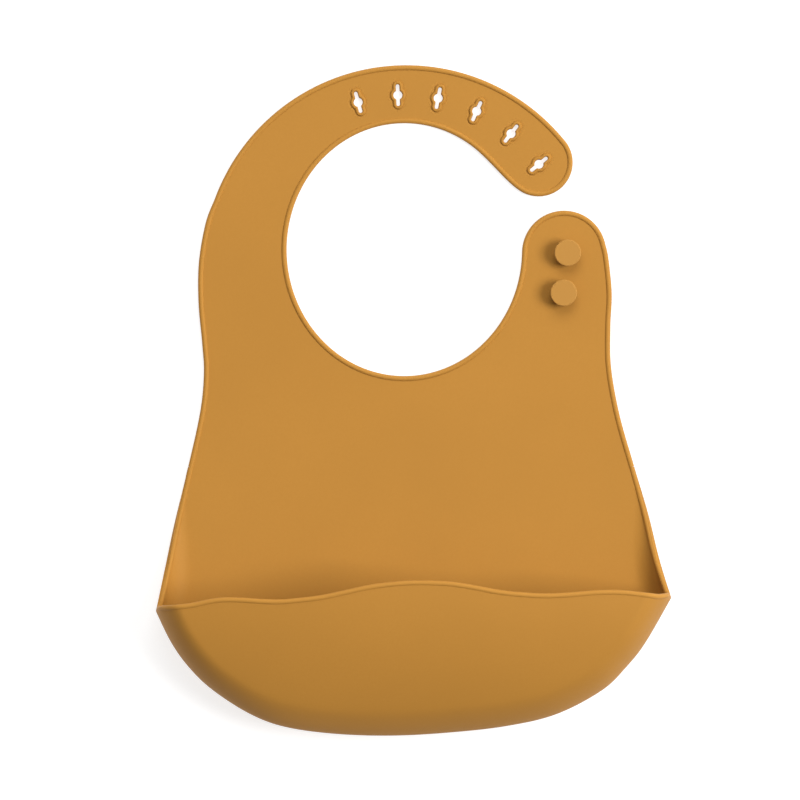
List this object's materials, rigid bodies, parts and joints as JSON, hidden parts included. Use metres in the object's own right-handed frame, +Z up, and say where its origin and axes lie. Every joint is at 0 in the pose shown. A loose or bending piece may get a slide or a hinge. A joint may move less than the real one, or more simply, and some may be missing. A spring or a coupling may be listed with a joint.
{
  "type": "silicone baby bib",
  "caption": "Soft one-piece baby bib with a beaded edge, an open catch pocket, a slotted neck strap and a button tab with mushroom studs.",
  "frame": {"origin": "centre of the bounding box in plan, on the table the bib lies on", "axes": "+Y from the pocket to the neck, +Z up out of the table on the side with the pocket and the studs, +X to the button tab"},
  "size_m": [0.2302, 0.2998, 0.0448],
  "materials": {
    "silicone_sheet": "matte mustard silicone",
    "silicone_stud": "matte mustard silicone"
  },
  "bodies": {
    "lower_panel": {"chest_panel_lower": "silicone_sheet", "left_side_wall": "silicone_sheet", "right_side_wall": "silicone_sheet", "pocket_trough": "silicone_sheet"},
    "pocket_front": {"pocket_front_wall": "silicone_sheet"},
    "upper_panel": {"chest_panel_upper": "silicone_sheet"},
    "button_tab": {"button_tab": "silicone_sheet", "stud_upper": "silicone_stud", "stud_lower": "silicone_stud"},
    "strap_shoulder": {"strap_shoulder": "silicone_sheet"},
    "strap_side": {"strap_side": "silicone_sheet"},
    "strap_holes": {"strap_holes": "silicone_sheet"},
    "strap_tip": {"strap_tip": "silicone_sheet"}
  },
  "joints": [
    {"name": "pocket_mouth", "type": "hinge", "parent": "lower_panel", "child": "pocket_front", "pos_m": [0, -0.1344, 0.0312], "axis": [1, 0, 0], "range_deg": [-5, 25], "stiffness_Nm_per_rad": 0.25},
    {"name": "chest_fold", "type": "hinge", "parent": "lower_panel", "child": "upper_panel", "pos_m": [0, -0.012, 0.00245], "axis": [1, 0, 0], "range_deg": [0, 80]},
    {"name": "tab_bend", "type": "hinge", "parent": "upper_panel", "child": "button_tab", "pos_m": [0.065, 0.038, 0.00245], "axis": [1, 0, 0], "range_deg": [0, 45]},
    {"name": "strap_root_bend", "type": "hinge", "parent": "upper_panel", "child": "strap_shoulder", "pos_m": [-0.0041, 0.0676, 0.00245], "axis": [0.9962, -0.0872, 0], "range_deg": [0, 30]},
    {"name": "strap_side_bend", "type": "hinge", "parent": "strap_shoulder", "child": "strap_side", "pos_m": [-0.0041, 0.0676, 0.00245], "axis": [0.6428, -0.766, 0], "range_deg": [0, 30]},
    {"name": "strap_holes_bend", "type": "hinge", "parent": "strap_side", "child": "strap_holes", "pos_m": [-0.0041, 0.0676, 0.00245], "axis": [0.1719, -0.9851, 0], "range_deg": [0, 30]},
    {"name": "strap_tip_bend", "type": "hinge", "parent": "strap_holes", "child": "strap_tip", "pos_m": [-0.0041, 0.0676, 0.00245], "axis": [-0.575, -0.8181, 0], "range_deg": [0, 30]}
  ]
}
